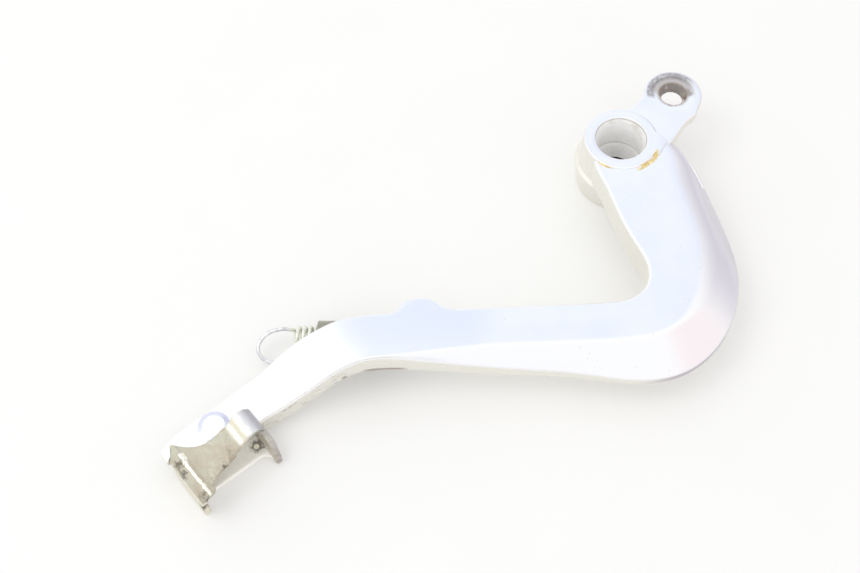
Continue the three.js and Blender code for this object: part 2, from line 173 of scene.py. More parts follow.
def inset(outline, distance):
    """Moves every point of a counter-clockwise outline inwards."""
    points = np.array(outline, float)
    along = np.roll(points, -1, axis=0) - points
    along /= np.linalg.norm(along, axis=1)[:, None]
    bisector = along + np.roll(along, 1, axis=0)
    bisector /= np.linalg.norm(bisector, axis=1)[:, None]
    inwards = np.stack([-bisector[:, 1], bisector[:, 0]], axis=1)
    return points + inwards * distance


def prism(name, outline, bottom, top, edge=0.0):
    """A prism of a counter-clockwise outline, with its upper and lower edges rounded by a bevel."""
    levels = [(0.0, bottom), (0.0, top)]
    if edge:
        slope = [(1.0, 0.0), (0.4, 0.15), (0.15, 0.4), (0.0, 1.0)]
        levels = [(edge * side, bottom + edge * rise) for side, rise in slope]
        levels += [(edge * side, top - edge * rise) for side, rise in reversed(slope)]
    rings = [[(x, y, height) for x, y in inset(outline, distance)] for distance, height in levels]
    return skin(name, rings)


def arc(x, y, radius, start, end, steps):
    """Points of an arc in the plane, between two angles in degrees."""
    angles = np.radians(np.linspace(start, end, steps + 1))
    return [(x + radius * math.cos(angle), y + radius * math.sin(angle)) for angle in angles]


def bend(start, control, end, steps=6):
    """Points of a quadratic curve in the plane."""
    points = []
    for step in range(steps + 1):
        t = step / steps
        before, middle, after = (1 - t) ** 2, 2 * t * (1 - t), t * t
        x = before * start[0] + middle * control[0] + after * end[0]
        y = before * start[1] + middle * control[1] + after * end[1]
        points.append((x, y))
    return points


def bake(piece):
    """Turns the piece's modifiers into its mesh."""
    graph = bpy.context.evaluated_depsgraph_get()
    mesh = bpy.data.meshes.new_from_object(piece.evaluated_get(graph))
    piece.modifiers.clear()
    piece.data = mesh


def combine(piece, tool, operation):
    """UNION, DIFFERENCE or INTERSECT with a tool that is used up."""
    modifier = piece.modifiers.new("cut", "BOOLEAN")
    modifier.operation = operation
    modifier.object = tool
    modifier.solver = "EXACT"
    bake(piece)
    bpy.data.objects.remove(tool)


def tube(name, path, radius, sides=12, round_ends=True):
    """Wire of round section along a path, carried without twist."""
    path = np.array(path, float)
    tangents = np.gradient(path, axis=0)
    tangents /= np.linalg.norm(tangents, axis=1)[:, None]
    side = np.cross(tangents[0], (0.0, 0.0, 1.0))
    if np.linalg.norm(side) < 0.1:
        side = np.cross(tangents[0], (0.0, 1.0, 0.0))
    angles = np.linspace(0, 2 * math.pi, sides, endpoint=False)
    rings = []
    for point, tangent in zip(path, tangents):
        side = side - tangent * np.dot(side, tangent)
        side /= np.linalg.norm(side)
        up = np.cross(tangent, side)
        rings.append([point + radius * (math.cos(angle) * side + math.sin(angle) * up) for angle in angles])
    if round_ends:
        rings = rounded_end(rings, path[0], -tangents[0], radius)[::-1] + rings
        rings = rings + rounded_end(rings, path[-1], tangents[-1], radius, last=True)
    return skin(name, rings)


def rounded_end(rings, centre, outwards, radius, last=False):
    """Shrinking rings that close a wire with a domed end."""
    base = np.array(rings[-1] if last else rings[0])
    dome = []
    for reach, shrink in ((0.25, 0.92), (0.45, 0.72), (0.55, 0.4)):
        dome.append(list(centre + (base - centre) * shrink + outwards * radius * reach))
    return dome


def spline(controls, steps):
    """Smooth curve through control points, a fixed number of steps for each span."""
    controls = np.array(controls, float)
    ends = [2 * controls[0] - controls[1], *controls, 2 * controls[-1] - controls[-2]]
    points = []
    for a, b, c, d in zip(ends, ends[1:], ends[2:], ends[3:]):
        for t in np.linspace(0, 1, steps, endpoint=False):
            points.append(0.5 * (2 * b + (c - a) * t + (2 * a - 5 * b + 4 * c - d) * t**2
                                 + (3 * b - a - 3 * c + d) * t**3))
    points.append(controls[-1])
    return np.array(points)


def finish_piece(piece, body, nodes, material, sharp=32):
    piece.data.transform(placement())
    shade(piece, sharp)
    piece.data.materials.clear()
    piece.data.materials.append(material)
    if body:
        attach(piece, body)
    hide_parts(*nodes)
    return piece


def placement():
    """From millimetres in the drawing frame to metres in the row frame."""
    return Matrix.Translation(Vector(PIVOT)) @ Matrix.Scale(1 / MILLIMETRES, 4)


def shade(piece, sharp):
    """Smooth shading that breaks at edges sharper than an angle in degrees."""
    piece.data.shade_smooth()
    piece.data.set_sharp_from_angle(angle=math.radians(sharp))


# ---- lever ----
def soften(values, width):
    """Gaussian smoothing along the arm that keeps both ends."""
    reach = int(width * 3)
    window = np.exp(-0.5 * (np.arange(-reach, reach + 1) / width) ** 2)
    window /= window.sum()
    padded = np.pad(values, ((reach, reach), (0, 0)), mode="reflect", reflect_type="odd")
    columns = [np.convolve(column, window, "valid") for column in padded.T]
    return np.stack(columns, axis=1)


def rounded_section(corners, reaches, fills):
    """Closed section with a rounded corner at each of its points.

    A corner's reaches are how far the rounding goes before and after it. Its fill is the
    number of points on the edge that follows, and how far that edge is lifted."""
    count = len(corners)
    starts, ends = np.zeros_like(corners), np.zeros_like(corners)
    for index in range(count):
        after = (index + 1) % count
        edge = corners[after] - corners[index]
        length = np.linalg.norm(edge)
        leave, arrive = reaches[index][1], reaches[after][0]
        fit = min(1.0, 0.95 * length / (leave + arrive))
        ends[index] = corners[index] + edge / length * leave * fit
        starts[after] = corners[after] - edge / length * arrive * fit
    points = []
    for index, (fill, lift) in enumerate(fills):
        start, corner, end = starts[index], corners[index], ends[index]
        for t in np.linspace(0, 1, 8):
            points.append((1 - t) ** 2 * start + 2 * t * (1 - t) * corner + t * t * end)
        target = starts[(index + 1) % count]
        for t in np.linspace(0, 1, fill + 2)[1:-1]:
            points.append(end + (target - end) * t + np.array([0, 0, lift * math.sin(math.pi * t)]))
    return points


def arm():
    """The arm from the boss round the elbow and down the joggle to the tip of the tongue."""
    rows = soften(spline(ARM_STATIONS, STEPS_PER_STATION), ARM_SMOOTHING)
    rings = []
    for step, row in enumerate(rows):
        top, drop, thickness = row[6:9]
        corners = np.array([
            [row[0], row[1], top],
            [row[2], row[3], top],
            [row[4], row[5], top - drop],
            [row[4], row[5], top - thickness],
            [row[0], row[1], top - thickness],
        ])
        station = step / STEPS_PER_STATION
        upper = min(1.0, max(0.0, (CRISP_FROM - station) / CRISP_FADE))
        depth = min(1.0, drop / DEEP_BEVEL)
        crease = (depth * (1.0 + 6.0 * upper) + 0.4, depth * (1.4 + 7.1 * upper) + 0.4)
        # Left edge, crease, right edge, lower right and lower left.
        reaches = ((1.5, 1.5), crease, (1.0, 1.0), (0.8, 0.8), (0.8, 0.8))
        fills = ((7, 0.3), (4, 0.2), (2, 0.0), (4, 0.0), (2, 0.0))
        rings.append(rounded_section(corners, reaches, fills))
    return skin("lever_arm_visual", rings)


def boss_profile():
    """Tapered boss with a step half way up."""
    return [
        (0, 0), (14.4, 0), (15.2, 0.3), (15.6, 1.0), (17.1, 12.0), (17.3, 12.8), (17.1, 13.4),
        (16.6, 13.8), (15.8, 14.3), (15.5, 15.2), (14.95, 26.9), (14.8, 27.5), (14.4, 27.9),
        (13.9, BOSS_TOP), (0, BOSS_TOP),
    ]


def lug_outline():
    """Eye of the pushrod lug and the two flanks that run back to the boss."""
    return [
        (16, -8), (20.2, -1.2), (22.6, 2.6), (25.0, 6.4),
        *bend((25.0, 6.4), (27.0, 9.6), (30.0, 11.8))[1:],
        *bend((30.0, 11.8), (32.3, 13.7), (33.3, 17.9))[1:],
        *arc(*LUG_CENTRE, 11.9, -27, 171, 48),
        *bend((11.3, 25.6), (10.3, 20.4), (4.6, 16.4))[1:],
        (0, 13), (0, 0),
    ]


def nub():
    """Rounded nub on the far edge of the arm. Its outline is drawn from the anchor pin's axis."""
    outline = [
        (-13, -3), (-10.8, 0.9),
        *bend((-10.8, 0.9), (-8.4, 1.1), (-7.5, 3.4))[1:],
        *bend((-7.5, 3.4), (-6.3, 6.8), (-1.6, 7.3), 10)[1:],
        *bend((-1.6, 7.3), (0.3, 7.45), (2.2, 7.4))[1:],
        *bend((2.2, 7.4), (4.7, 7.2), (6.8, 5.1))[1:],
        *bend((6.8, 5.1), (9.0, 2.9), (12.2, 2.7))[1:],
        (14, 2.0), (14, -3),
    ]
    piece = prism("nub", outline[::-1], NUB_BOTTOM, NUB_TOP, 0.7)
    for vertex in piece.data.vertices:
        if vertex.co.z > (NUB_BOTTOM + NUB_TOP) / 2:
            vertex.co.z += NUB_SLOPE * vertex.co.x
    piece.data.transform(Matrix.Translation((*ANCHOR, 0)))
    return piece


def cutter(profile, centre=(0.0, 0.0)):
    return turned("cutter", profile, centre, 96)


def rivet_cutter(bottom, top, centre=(0.0, 0.0)):
    profile = [(0, bottom), (RIVET_HOLE_RADIUS, bottom), (RIVET_HOLE_RADIUS, top), (0, top)]
    return cutter(profile, centre)


def pivot_bore():
    """Bore with a wider seat for the dust seal at the floor side."""
    mouth = SEAT_RADIUS + 0.45
    rim = BORE_RADIUS + BORE_EDGE
    return cutter([
        (0, -1), (mouth, -1), (mouth, 0), (SEAT_RADIUS, 0.45), (SEAT_RADIUS, SEAT_DEPTH),
        (BORE_RADIUS, SEAT_DEPTH), (BORE_RADIUS, BOSS_TOP - 0.35),
        (BORE_RADIUS + 0.15, BOSS_TOP - 0.1), (rim, BOSS_TOP), (rim, BOSS_TOP + 1), (0, BOSS_TOP + 1),
    ])


def clevis_hole():
    """Countersunk hole with a shallow round face sunk into the lug."""
    return cutter([
        (0, 20), (4.8, 20), (4.8, 21.6), (4.4, 22.0), (4.4, 23.9), (5.7, LUG_FACE),
        (8.7, LUG_FACE), (8.9, 26.9), (8.9, 29), (0, 29),
    ], LUG_CENTRE)


def toe_notch():
    """Clears the tongue for the end wall of the cleat."""
    outline = [
        (16.1, -3.4), (17.2, -3.3), (18.9, -0.2), (20.7, 1.0), (23, 1.1), (23, 12), (16.1, 12),
    ]
    piece = prism("notch", outline, -12, 1)
    piece.data.transform(toe_matrix())
    return piece


def lever():
    body = arm()
    between_boss_and_lug = [(-2, 2), (-2, -6), (14.4, -8.2), (18.6, -1.0), (4.9, 13.1)]
    added = [
        turned("boss", boss_profile()),
        prism("corner", between_boss_and_lug, 20, BOSS_TOP, 0.5),
        prism("lug", lug_outline(), LUG_TOP - LUG_THICKNESS, LUG_TOP, 1.1),
        nub(),
    ]
    for tool in added:
        combine(body, tool, "UNION")
    removed = [pivot_bore(), clevis_hole(), toe_notch(), rivet_cutter(2, 13, TOE_ORIGIN[:2])]
    for tool in removed:
        combine(body, tool, "DIFFERENCE")
    return body


def toe_matrix():
    """From the toe frame to the drawing frame: U to the tip, V to the foot side, W up."""
    return Matrix.Translation(Vector(TOE_ORIGIN)) @ Matrix.Rotation(TOE_ANGLE, 4, "Z")


# ---- pivot bushes, seal, rivet and pin ----
def bush(name, bore, bottom, top, lead):
    """Plain ring with a lead-in at the top of its bore."""
    edge = 0.2
    outer = BORE_RADIUS - BUSH_CLEARANCE
    profile = [
        (bore + edge, bottom), (outer - edge, bottom), (outer, bottom + edge),
        (outer, top - edge / 2), (outer - edge / 2, top), (bore + lead, top),
        (bore, top - 1.6 * lead), (bore, bottom + edge),
    ]
    return turned(name, profile, loop=True)


def dust_seal():
    """Ring with a lip that leans in towards the pivot shaft."""
    profile = [
        (9.0, 0.1), (10.6, 0.1), (10.75, 0.3), (10.75, 2.7), (10.6, 2.9), (9.3, 2.9),
        (9.1, 2.7), (8.9, 1.9), (8.4, 1.5), (8.0, 1.2), (8.3, 0.7),
    ]
    return turned("inner_dust_seal_visual", profile, loop=True)


def toe_rivet():
    """Low wide head above the tongue, shank, and a smaller head under the web."""
    profile = [
        (0, -12.1), (4.0, -12.1), (4.5, -11.8), (4.6, -11.4), (4.6, -11.1), (3.0, -11.07),
        (3.0, 0.15), (5.8, 0.15), (6.0, 0.3), (5.95, 0.5), (5.4, 0.75), (4.4, 1.12),
        (4.1, 1.26), (3.8, 1.3), (0, 1.3),
    ]
    piece = turned("toe_rivet_visual", profile, segments=96)
    piece.data.transform(toe_matrix())
    return piece


def anchor_pin():
    """Headed pin that hangs under the arm, with a neck for the spring's eye."""
    profile = [
        (0, 3.2), (2.7, 3.2), (3.2, 3.4), (3.4, 3.8), (3.4, 4.3), (3.2, 4.6), (2.9, 4.7),
        (1.9, 4.8), (1.9, 12.9), (2.6, 13.9), (2.6, 20.0), (0, 20.0),
    ]
    return turned("spring_anchor_pin_visual", profile, ANCHOR, 64)


# ---- return spring ----
SPRING_AXIS_Z = 6.9
COIL_RADIUS = 4.1
COIL_START = 9.5
COIL_TURNS = 17
COIL_PITCH = 2.25
COIL_END = COIL_START + COIL_TURNS * COIL_PITCH
HOOK_FROM = 48.6
WIRE_RADIUS = 0.75
EYE_RADIUS = 3.2
HOOK_TILT = math.radians(25)
# Distance from the hook's start along the spring, and offset to the side.
HOOK_LINE = [
    (3.0, 3.45), (5.2, 3.15), (8.4, 2.2), (11.1, 0.1), (12.75, -2.8), (12.75, -5.2),
    (11.3, -7.6), (9.3, -8.9), (7.0, -9.6), (4.8, -9.8),
]


def spring_point(distance, side, up):
    """A point given from the anchor pin, along the spring and off its axis."""
    return np.array([ANCHOR[0] - distance, ANCHOR[1] + side, SPRING_AXIS_Z + up])


HOOK_START = spring_point(HOOK_FROM + 1.3, 3.2, 0.9)


def coil():
    """Eye round the anchor pin, close coil, and the lead out to the hook."""
    points = []
    for degrees in range(-150, 151, 15):
        angle = math.radians(degrees)
        points.append(spring_point(-EYE_RADIUS * math.cos(angle), EYE_RADIUS * math.sin(angle), 0))
    from_eye = [
        points[-1],
        spring_point(5.4, 2.8, 0),
        spring_point(7.6, 3.8, 0),
        spring_point(COIL_START, COIL_RADIUS, 0),
    ]
    points += list(spline(from_eye, 5)[1:-1])
    points_per_turn = 28
    for turn in np.arange(0, COIL_TURNS - 0.1, 1 / points_per_turn):
        angle = 2 * math.pi * turn
        side, up = COIL_RADIUS * math.cos(angle), COIL_RADIUS * math.sin(angle)
        points.append(spring_point(COIL_START + COIL_PITCH * turn, side, up))
    last = spring_point(COIL_END - 0.1, 3.5, -0.4)
    points += list(spline([points[-1], last, HOOK_START], 5)[1:])
    return tube("return_spring_visual", points, WIRE_RADIUS)


def hook():
    """Free end of the spring, in a plane tilted about the spring's axis."""
    controls = [HOOK_START]
    for distance, offset in HOOK_LINE:
        side, up = offset * math.cos(HOOK_TILT), offset * math.sin(HOOK_TILT)
        controls.append(spring_point(HOOK_FROM + distance, side, up))
    return tube("spring_free_hook_visual", spline(controls, 6), WIRE_RADIUS, 16)


def sleeve():
    """Rubber tube over the coil."""
    inner, outer, start, length = 5.3, 6.6, 12.0, 26.6
    profile = [
        (inner, 0.3), (inner + 0.3, 0), (outer - 0.4, 0), (outer - 0.1, 0.15), (outer, 0.5),
        *[(outer, height) for height in np.linspace(2, length - 2, 12)],
        (outer, length - 0.5), (outer - 0.1, length - 0.15), (outer - 0.4, length), (inner + 0.3, length),
        (inner, length - 0.3),
    ]
    piece = turned("spring_sleeve_visual", profile, segments=96, loop=True)
    turn = Matrix.Rotation(-math.pi / 2, 4, "Y")
    move = Matrix.Translation((ANCHOR[0] - start, ANCHOR[1], SPRING_AXIS_Z))
    piece.data.transform(move @ turn)
    return piece


# ---- toe cleat ----
WALL_U = 17.9
WALL_OUTER_U = WALL_U + SHEET
CLAW_U = -13.8
TIP_V = 22.1
FLOOR_W = -12.1
WEB_TOP = -8.55
BEND_RADIUS = 4.0
BEND_U = WALL_OUTER_U - BEND_RADIUS
BEND_W = 0.15 + SHEET - BEND_RADIUS
HUMP_U = -8.3
HUMP_W = 1.2
HUMP_RADIUS = 5.3
CLEAT_VOXEL = 0.34
# Middle of each dark patch in the toe frame, and its radius: stain marks, the first of them painted shade
# in the hollow under the hump.
CLEAT_STAINS_AND_SHADE = [
    (-9.2, 12.3, -8.6, 3.4),
    (-13.3, 11.6, 0.0, 2.4),
    (1.5, 14.6, 1.0, 2.4),
    (6.5, 17.0, 1.5, 2.6),
    (17.5, 20.8, 0.0, 3.2),
    (18.2, 5.5, 0.8, 2.9),
    (18.8, 9.0, 0.4, 2.6),
    (19.8, 20.0, -6.5, 2.2),
]
GLINT = (-8.9, 12.4, -8.6)


def strap():
    """Top of the cleat: sheet bent over the tongue, with the hump that comes down to the claw."""
    inner = HUMP_RADIUS - SHEET + 0.3
    profile = [
        (WALL_OUTER_U, BEND_W - 1),
        *arc(BEND_U, BEND_W, BEND_RADIUS, 0, 75, 9),
        (16.9, 2.95), (16.3, 3.1), (15.7, 2.95), (14.8, 2.5), (12.0, 2.5), (6.0, 3.1),
        (2.0, 3.6), (-2.0, 4.1),
        *arc(HUMP_U, HUMP_W, HUMP_RADIUS, 42, 172, 24),
        (CLAW_U, 0.15),
        *arc(HUMP_U, HUMP_W, inner, 186, 48, 20),
        (-4.2, 2.0), (6.0, 1.6),
        *arc(BEND_U, BEND_W, BEND_RADIUS - SHEET, 90, 0, 8),
        (WALL_U, BEND_W - 1),
    ]
    rings = [[(u, v, w) for u, w in profile] for v in np.linspace(-6, 24, 25)]
    sheet = skin("strap", rings)
    plan = [
        (WALL_OUTER_U + 1, 1.5), (WALL_OUTER_U, 1.3), (18.7, 0.2), (16.9, -2.9), (14.7, -0.6),
        (12.7, 1.6), (9.1, 4.0), (6.7, 4.6), (3.0, 4.8), (-1.6, 4.2), (-7.6, 3.4), (-15, 3.4),
        (-15, 13.8), (-4.6, 13.7), (-0.4, 14.9), (1.9, 16.1), (5.6, 16.9), (8.4, 17.2),
        (13.2, 19.0), (13.6, 21.4), (14.8, 22.3), (WALL_OUTER_U + 1, 22.1),
    ]
    combine(sheet, prism("plan", plan[::-1], -4, 9), "INTERSECT")
    return sheet


def end_plate(name, u, foot_v, inner_v, top_w):
    """Plate at one end of the cleat, with a rounded and notched foot-side edge."""
    side = [
        (foot_v, FLOOR_W), (TIP_V - 1.4, FLOOR_W), (TIP_V - 0.3, FLOOR_W + 0.5), (TIP_V, FLOOR_W + 1.3),
        (TIP_V - 0.9, FLOOR_W + 2.2), (TIP_V - 0.9, FLOOR_W + 2.7), (TIP_V, FLOOR_W + 3.6),
        (TIP_V - 0.1, FLOOR_W + 4.8), (TIP_V - 1.4, FLOOR_W + 5.7), (TIP_V - 1.5, FLOOR_W + 6.3),
        (TIP_V - 0.8, FLOOR_W + 7.4), (TIP_V - 1.8, FLOOR_W + 8.6), (TIP_V - 2.5, top_w - 1.2),
        (TIP_V - 3.3, top_w - 0.4), (TIP_V - 4.6, top_w), (inner_v, top_w),
    ]
    rings = [[(level, v, w) for v, w in side] for level in np.linspace(u, u + SHEET, 6)]
    return skin(name, rings)


def web():
    """Plate under the tongue that joins the two ends."""
    end_v = TIP_V - 1.6
    radius = end_v - 16.6
    outline = [
        (WALL_OUTER_U, 4.4), (17, 0.6), (10, -3.4), (0, -5.0), (-8, -5.6), (CLAW_U, -5.6),
        (CLAW_U, end_v), (CLAW_U + SHEET, end_v),
        *arc(CLAW_U + SHEET + radius, end_v, radius, 180, 270, 10)[1:],
        *arc(WALL_U - radius, end_v, radius, 270, 360, 10),
        (WALL_OUTER_U, end_v),
    ]
    return prism("web", outline[::-1], WEB_TOP - SHEET, WEB_TOP)


def join_meshes(name, parts):
    """One mesh from several closed shells, still overlapping."""
    draft = bmesh.new()
    for part in parts:
        draft.from_mesh(part.data)
        bpy.data.objects.remove(part)
    mesh = bpy.data.meshes.new(name)
    draft.to_mesh(mesh)
    draft.free()
    piece = bpy.data.objects.new(name, mesh)
    bpy.context.collection.objects.link(piece)
    return piece


def roughen(piece, amount, grain):
    """Pushes the surface in and out a little, as pressed and rusted sheet is."""
    vertices = piece.data.vertices
    normals = [vertex.normal.copy() for vertex in vertices]
    for vertex, normal in zip(vertices, normals):
        point = vertex.co / grain
        height = noise.noise(point) + 0.5 * noise.noise(point * 2.3)
        vertex.co += normal * height * amount


def toe_cleat():
    """Strap, end wall, claw and web, run together into one folded sheet."""
    parts = [
        strap(),
        end_plate("end_wall", WALL_U, 4.4, 1.4, BEND_W),
        end_plate("claw", CLAW_U, 10.4, 10.4, 1.2),
        web(),
    ]
    piece = join_meshes("toe_cleat_visual", parts)
    remesh = piece.modifiers.new("remesh", "REMESH")
    remesh.mode = "VOXEL"
    remesh.voxel_size = CLEAT_VOXEL
    smooth = piece.modifiers.new("smooth", "SMOOTH")
    smooth.factor = 0.5
    smooth.iterations = 4
    bake(piece)
    roughen(piece, amount=0.09, grain=1.6)
    for vertex in piece.data.vertices:
        vertex.co.z = max(vertex.co.z, FLOOR_W)
    combine(piece, rivet_cutter(-14, -6), "DIFFERENCE")
    piece.data.transform(toe_matrix())
    return piece


# ---- materials ----
class Graph:
    """Builds shader nodes. A value is a number, a colour, a vector or another node's socket."""

    def __init__(self, tree):
        self.tree = tree

    def put(self, value, socket):
        if isinstance(value, bpy.types.NodeSocket):
            self.tree.links.new(value, socket)
        else:
            socket.default_value = value

    def vector(self, operation, first, second):
        node = self.tree.nodes.new("ShaderNodeVectorMath")
        node.operation = operation
        self.put(first, node.inputs[0])
        self.put(second, node.inputs[1])
        return node.outputs[0]

    def measure(self, operation, *vectors):
        """A vector operation that gives a number."""
        node = self.tree.nodes.new("ShaderNodeVectorMath")
        node.operation = operation
        for value, socket in zip(vectors, node.inputs):
            self.put(value, socket)
        return node.outputs["Value"]

    def parts(self, value):
        node = self.tree.nodes.new("ShaderNodeSeparateXYZ")
        self.put(value, node.inputs[0])
        return node.outputs

    def fade(self, value, start, end, low=0.0, high=1.0, shape="SMOOTHSTEP"):
        """A clamped step from one number to another."""
        node = self.tree.nodes.new("ShaderNodeMapRange")
        node.interpolation_type = shape
        for socket, number in zip(node.inputs, (value, start, end, low, high)):
            self.put(number, socket)
        return node.outputs[0]

    def mix(self, factor, first, second):
        """Colour between two colours."""
        node = self.tree.nodes.new("ShaderNodeMix")
        node.data_type = "RGBA"
        self.put(factor, node.inputs[0])
        self.put(first, node.inputs[6])
        self.put(second, node.inputs[7])
        return node.outputs[2]


class Paint(Graph):
    """Builds one material. Points are in millimetres in the drawing frame."""

    def __init__(self, name):
        self.material = bpy.data.materials.new(name)
        self.material.use_nodes = True
        super().__init__(self.material.node_tree)
        self.shader = self.tree.nodes["Principled BSDF"]
        texture = self.tree.nodes.new("ShaderNodeTexCoord")
        scaled = self.vector("MULTIPLY", texture.outputs["Object"], (MILLIMETRES,) * 3)
        self.point = self.vector("SUBTRACT", scaled, tuple(PIVOT * MILLIMETRES))
        self.x, self.y, self.z = self.parts(self.point)
        self.normal = self.parts(texture.outputs["Normal"])

    def set(self, name, value):
        self.put(value, self.shader.inputs[name])

    def math(self, operation, first, second):
        node = self.tree.nodes.new("ShaderNodeMath")
        node.operation = operation
        self.put(first, node.inputs[0])
        self.put(second, node.inputs[1])
        return node.outputs[0]

    def chain(self, operation, values):
        result = values[0]
        for value in values[1:]:
            result = self.math(operation, result, value)
        return result

    def product(self, *values):
        return self.chain("MULTIPLY", values)

    def largest(self, *values):
        return self.chain("MAXIMUM", values)

    def total(self, *values):
        return self.chain("ADD", values)

    def less(self, first, second):
        return self.math("SUBTRACT", first, second)

    def inverse(self, mask):
        return self.fade(mask, 1.0, 0.0)

    def band(self, value, start, full, thinning, end):
        """1 between two levels of a value, with a soft step on each side."""
        return self.product(self.fade(value, start, full), self.fade(value, end, thinning))

    def blend(self, factor, first, second):
        """Number between two numbers."""
        node = self.tree.nodes.new("ShaderNodeMix")
        self.put(factor, node.inputs[0])
        self.put(first, node.inputs[2])
        self.put(second, node.inputs[3])
        return node.outputs[0]

    def tint(self, base, mask, amount, colour):
        """Lays a colour over the base inside a mask."""
        return self.mix(self.product(mask, amount), base, colour)

    def turn(self, value, angle):
        """A vector turned about the vertical axis."""
        node = self.tree.nodes.new("ShaderNodeVectorRotate")
        node.rotation_type = "Z_AXIS"
        self.put(value, node.inputs["Vector"])
        self.put(angle, node.inputs["Angle"])
        return node.outputs[0]

    def noise(self, scale, detail=4.0, rough=0.55, stretch=None):
        node = self.tree.nodes.new("ShaderNodeTexNoise")
        point = self.vector("MULTIPLY", self.point, stretch) if stretch else self.point
        self.put(point, node.inputs["Vector"])
        self.put(scale, node.inputs["Scale"])
        self.put(detail, node.inputs["Detail"])
        self.put(rough, node.inputs["Roughness"])
        return node.outputs[0]

    def wander(self, scale, detail, rough, reach):
        """Noise about zero, to make an edge ragged."""
        return self.product(self.less(self.noise(scale, detail, rough), 0.5), reach)

    def dots(self, scale, size):
        """Small round marks scattered over the surface."""
        node = self.tree.nodes.new("ShaderNodeTexVoronoi")
        self.put(self.point, node.inputs["Vector"])
        self.put(scale, node.inputs["Scale"])
        return self.fade(node.outputs["Distance"], size, self.product(size, 0.4))

    def distance(self, centre):
        """Distance from a point in space."""
        return self.measure("LENGTH", self.vector("SUBTRACT", self.point, centre))

    def plan_distance(self, x, y):
        """Distance from a vertical axis."""
        offset = self.vector("SUBTRACT", self.point, (x, y, 0.0))
        return self.measure("LENGTH", self.vector("MULTIPLY", offset, (1.0, 1.0, 0.0)))

    def disc(self, x, y, outer, inner):
        """1 inside a disc in plan, 0 outside it."""
        return self.fade(self.plan_distance(x, y), outer, inner)

    def bump(self, height, depth_mm, strength):
        node = self.tree.nodes.new("ShaderNodeBump")
        self.put(height, node.inputs["Height"])
        self.put(depth_mm / MILLIMETRES, node.inputs["Distance"])
        self.put(strength, node.inputs["Strength"])
        self.set("Normal", node.outputs[0])


def rgb(red, green, blue):
    """Linear colour from 0-255 display values."""
    return tuple((channel / 255) ** 2.2 for channel in (red, green, blue)) + (1.0,)


def polish_and_painted_reflection(paint):
    """Bright top faces, with painted reflection: bluish along the level middle of the arm and white on the
    tongue.
    """
    clouds = paint.noise(0.05, 3.0)
    level = paint.fade(paint.normal[2], 0.93, 0.985)
    base = paint.mix(paint.fade(clouds, 0.3, 0.7), rgb(247, 249, 253), rgb(242, 245, 252))
    base = paint.mix(level, rgb(249, 249, 251), base)
    # Painted reflection: level faces in the middle of the arm are tinted blue.
    bluish = paint.product(paint.band(paint.x, -117.0, -106.0, -64.0, -46.0), level)
    base = paint.mix(bluish, base, rgb(236, 241, 253))
    # Painted reflection: the tongue is painted pure white.
    return paint.mix(paint.fade(paint.x, -118.0, -128.0), base, rgb(255, 255, 255))


def painted_side_shade(paint, base, wall):
    """Painted shade: the outer bevel and the outer wall are painted darker where they turn away from the
    pivot.
    """
    top = paint.inverse(wall)
    outwards = paint.total(paint.product(paint.normal[0], 0.92), paint.product(paint.normal[1], 0.39))
    upper = paint.fade(paint.y, -95.0, -60.0, 0.25, 1.0)
    bevel = paint.product(paint.fade(outwards, 0.3, 0.62), top, upper)
    base = paint.tint(base, bevel, 0.75, rgb(226, 223, 230))
    rim_side = paint.product(paint.fade(outwards, 0.54, 0.66), top, upper)
    base = paint.tint(base, rim_side, 0.7, rgb(206, 202, 210))
    elbow = paint.product(paint.fade(paint.y, 0.0, -12.0), paint.fade(paint.x, -30.0, -8.0))
    outer_wall = paint.product(paint.fade(paint.normal[0], -0.05, 0.35), wall, elbow)
    return paint.tint(base, outer_wall, 0.8, rgb(192, 184, 194))


def knocks(paint, wall):
    """Mask of the nicks, and of the scuffed stretch along the near wall of the joggle."""
    nicks = paint.product(paint.dots(0.45, 0.10), paint.fade(paint.noise(0.11, 2.0), 0.52, 0.62))
    joggle = paint.product(paint.band(paint.x, -142.0, -132.0, -108.0, -94.0), wall)
    streaks = paint.noise(0.7, 5.0, 0.7, (0.25, 0.25, 2.2))
    scuffs = paint.product(paint.fade(streaks, 0.58, 0.63), joggle)
    line = paint.band(paint.x, -103.0, -99.0, -88.0, -84.0)
    worn_line = paint.product(line, paint.fade(paint.z, 16.4, 15.6), wall)
    dent = paint.disc(-107.8, -101.3, 1.8, 0.7)
    gouge = paint.product(dent, paint.fade(paint.z, 16.0, 15.0), wall)
    return paint.largest(nicks, scuffs, worn_line, gouge)


